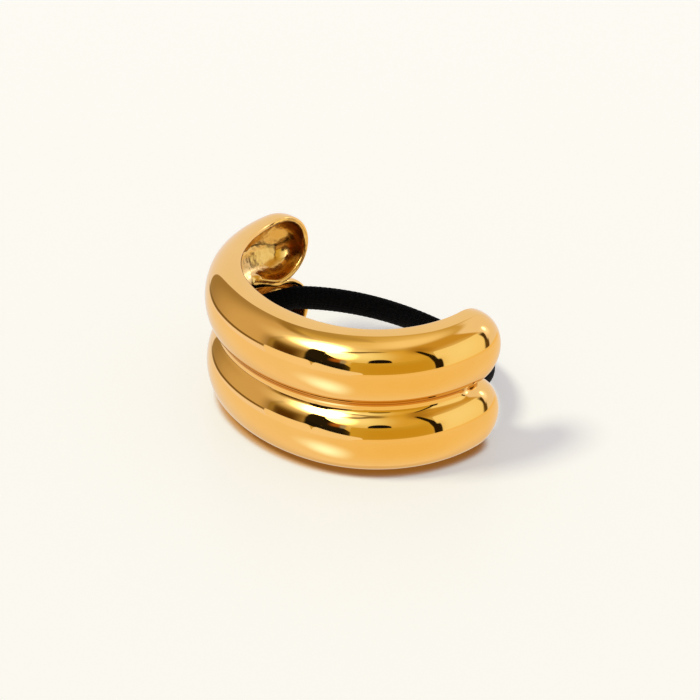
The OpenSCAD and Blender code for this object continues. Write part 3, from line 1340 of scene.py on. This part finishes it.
@dataclass
class Studio:
    """Floor, panels, key light and camera."""

    wall_colour: RGB = (0.62, 0.5, 0.22)
    fill: RGBA = (0.28, 0.255, 0.29, 1.0)
    backdrop: RGBA = (0.965, 0.94, 0.863, 1.0)
    key_across: float = -35.0
    key_up: float = 55.0
    key_strength: float = 1.3
    key_colour: RGB = (1.0, 1.0, 0.75)
    key_angle: float = 16.0
    third_share: float = 0.5
    third_depths: Pair = (1.0, 3.0)
    floor_half: float = 6.0
    horizon: Pair = (-13.0, -20.0)
    view_azimuth: float = 46.12
    view_elevation: float = 31.232
    view_target: RGB = (0.00326, -0.0047, 0.012494)
    view_distance: float = 0.42874
    sensor: float = 36.0
    lens: float = 139.06
    clip: Pair = (0.01, 50.0)
    panels: "tuple[Panel, ...]" = tuple(Panel(*row) for row in PANEL_ROWS)

    def panel_group(self) -> NodeTree:
        """Node group that lays one panel over a colour.

        Returns:
            The group.
        """
        group = new_group(
            "studio_panel",
            {
                "Under": (0.5, 0.5, 0.5, 1.0),
                "Across": 0.0,
                "Up": 0.0,
                "Panel Across": 0.0,
                "Panel Up": 0.0,
                "Half Width": 10.0,
                "Half Height": 10.0,
                "Tilt": 0.0,
                "Squareness": 8.0,
                "Softness": 0.1,
                "Strength": 1.0,
                "Colour": (1.0, 1.0, 1.0, 1.0),
            },
            {"Result": "NodeSocketColor"},
        )
        given = group.nodes["in"].outputs
        off = calc(group, "SUBTRACT", given["Across"], given["Panel Across"])
        off = calc(group, "WRAP", off, 180.0, -180.0)
        rise = calc(group, "SUBTRACT", given["Up"], given["Panel Up"])
        cosine, sine = calc(group, "COSINE", given["Tilt"]), calc(group, "SINE", given["Tilt"])
        turned = [calc(group, "MULTIPLY", a, b) for a in (off, rise) for b in (cosine, sine)]
        wide = calc(group, "ADD", turned[0], turned[3])
        high = calc(group, "SUBTRACT", turned[2], turned[1])
        parts = []
        for value, size in ((wide, "Half Width"), (high, "Half Height")):
            share = calc(group, "DIVIDE", calc(group, "ABSOLUTE", value), given[size])
            parts.append(calc(group, "POWER", share, given["Squareness"]))
        whole = calc(group, "ADD", *parts)
        reach = calc(group, "POWER", whole, calc(group, "DIVIDE", 1.0, given["Squareness"]))
        edge = [calc(group, operation, 1.0, given["Softness"]) for operation in ("SUBTRACT", "ADD")]
        share = calc(group, "MULTIPLY", span(group, reach, tuple(edge), (1.0, 0.0)), given["Strength"])
        feed(group.nodes["out"], {"Result": mix_colour(group, share, given["Under"], given["Colour"])})
        return group

    def light_world(self) -> None:
        """Makes the world: panels for reflections, even light for the rest."""
        world = bpy.data.worlds.new("studio")
        bpy.context.scene.world = world
        world.use_nodes = True
        tree = world.node_tree
        tree.nodes.clear()
        place = add_node(tree, "ShaderNodeTexCoord")
        parts = add_node(tree, "ShaderNodeSeparateXYZ")
        tree.links.new(place.outputs["Generated"], parts.inputs[0])
        back = calc(tree, "MULTIPLY", parts.outputs[1], -1.0)
        across = calc(tree, "DEGREES", calc(tree, "ARCTAN2", parts.outputs[0], back))
        up = calc(tree, "DEGREES", calc(tree, "ARCSINE", parts.outputs[2]))
        group = self.panel_group()
        below = span(tree, up, self.horizon)
        colour: object = (*self.wall_colour, 1.0)
        for panel in self.panels:
            laid = add_node(tree, "ShaderNodeGroup", node_tree=group, label=panel.name)
            values = {
                "Under": colour,
                "Across": across,
                "Up": up,
                "Panel Across": panel.across,
                "Panel Up": panel.up,
                "Half Width": panel.half_width,
                "Half Height": panel.half_height,
                "Tilt": math.radians(panel.tilt),
                "Squareness": panel.squareness,
                "Softness": panel.softness,
                "Strength": below if panel.ground else 1.0,
                "Colour": (*panel.colour, 1.0),
            }
            feed(laid, values)
            colour = laid.outputs["Result"]
        path = add_node(tree, "ShaderNodeLightPath")
        first = calc(tree, "LESS_THAN", path.outputs["Diffuse Depth"], 0.5)
        mirrored = calc(tree, "MULTIPLY", path.outputs["Is Glossy Ray"], first)
        even, seen, studio = (add_node(tree, "ShaderNodeBackground") for _ in range(3))
        fall = (1.0, self.third_share)
        level = span(tree, path.outputs["Glossy Depth"], self.third_depths, fall, "LINEAR")
        feed(even, {"Color": self.fill})
        feed(seen, {"Color": self.backdrop})
        feed(studio, {"Color": colour, "Strength": level})
        blend = self.choose(tree, mirrored, even, studio)
        blend = self.choose(tree, path.outputs["Is Camera Ray"], blend, seen)
        feed(add_node(tree, "ShaderNodeOutputWorld"), {"Surface": blend.outputs[0]})

    @staticmethod
    def choose(
        tree: NodeTree,
        share: NodeSocket,
        first: bpy.types.Node,
        second: bpy.types.Node,
    ) -> bpy.types.Node:
        """Mixes two shaders by a share.

        Args:
            tree: The tree that takes the node.
            share: How much of the second shows.
            first: A shader.
            second: A shader.

        Returns:
            The mixing node.
        """
        node = add_node(tree, "ShaderNodeMixShader")
        tree.links.new(share, node.inputs[0])
        tree.links.new(first.outputs[0], node.inputs[1])
        tree.links.new(second.outputs[0], node.inputs[2])
        return node

    def light_key(self) -> None:
        """Adds the soft key light that throws the shadow."""
        lamp = bpy.data.lights.new("key_light", "SUN")
        lamp.energy = self.key_strength
        lamp.color = self.key_colour
        lamp.angle = math.radians(self.key_angle)
        light = place_object("key_light", lamp)
        away = CuffPlan.outward(self.key_across) * math.cos(math.radians(self.key_up))
        away += UP * math.sin(math.radians(self.key_up))
        light.rotation_euler = away.to_track_quat("Z", "Y").to_euler()
        light.visible_glossy = False

    def lay_floor(self, finish: Material) -> None:
        """Lays the wide floor; the metal reflects the studio's own floor panels.

        Args:
            finish: The floor's material.
        """
        bm = bmesh.new()
        bmesh.ops.create_grid(bm, x_segments=2, y_segments=2, size=self.floor_half)
        floor = link_mesh(bm, "floor")
        floor.data.materials.append(finish)
        floor.visible_glossy = False

    def set_camera(self) -> None:
        """Sets the camera at the photograph's angle."""
        rise = math.radians(self.view_elevation)
        back = CuffPlan.outward(self.view_azimuth) * math.cos(rise) + UP * math.sin(rise)
        data = bpy.data.cameras.new("camera")
        data.sensor_width, data.lens = self.sensor, self.lens
        data.clip_start, data.clip_end = self.clip
        camera = place_object("camera", data)
        camera.location = Vector(self.view_target) + back * self.view_distance
        camera.rotation_euler = back.to_track_quat("Z", "Y").to_euler()
        bpy.context.scene.camera = camera

    def build(self) -> None:
        """Sets up the whole studio."""
        self.set_camera()
        self.light_world()
        self.light_key()
        self.lay_floor(FloorFinish().build())
        bpy.context.scene.view_settings.view_transform = "Standard"
        bpy.context.scene.view_settings.look = "None"


def carry(piece: Object, node: Node) -> None:
    """Ties a finished piece to the frame.

    Args:
        piece: The piece.
        node: The solid that it stands for.
    """
    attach(piece, BODY)
    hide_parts(node.value)
    LOG.info("%s replaces %s", piece.name, node.value)


def main() -> None:
    """Builds the studio and the cuff's pieces in order."""
    logging.basicConfig(level=logging.INFO, format="%(name)s: %(message)s")
    Studio().build()
    plan, wall = CuffPlan(), DomeWall()
    relief = waves_group()
    finishes = {
        Coat.POLISHED: GoldFinish(
            name="polished_gold",
            light=(0.97, 0.58, 0.17, 1.0),
            deep=(0.955, 0.565, 0.16, 1.0),
            roughness=(0.03, 0.045),
            coarse=140.0,
            fine=900.0,
            share=0.1,
            relief=0.00002,
            strength=0.12,
        ).build(relief),
        Coat.AS_CAST: GoldFinish(
            name="as_cast_gold",
            light=(0.93, 0.62, 0.24, 1.0),
            deep=(0.8, 0.46, 0.13, 1.0),
            roughness=(0.12, 0.2),
            coarse=190.0,
            fine=700.0,
            share=0.08,
            relief=0.0006,
            strength=0.5,
        ).build(relief),
    }
    knit = KnitFinish().build()
    pieces = (
        (CuffShell(plan, wall), finishes, Node.SHELL, Slot.GOLD),
        (RetainingBars(plan, wall), finishes[Coat.POLISHED], Node.SHELL, Slot.GOLD),
        (ElasticBand(plan, wall), knit, Node.ELASTIC, Slot.ELASTIC),
    )
    for maker, finish, node, slot in pieces:
        piece = maker.build()
        maker.dress(piece, finish)
        carry(piece, node)


if __name__ == "__main__":
    main()
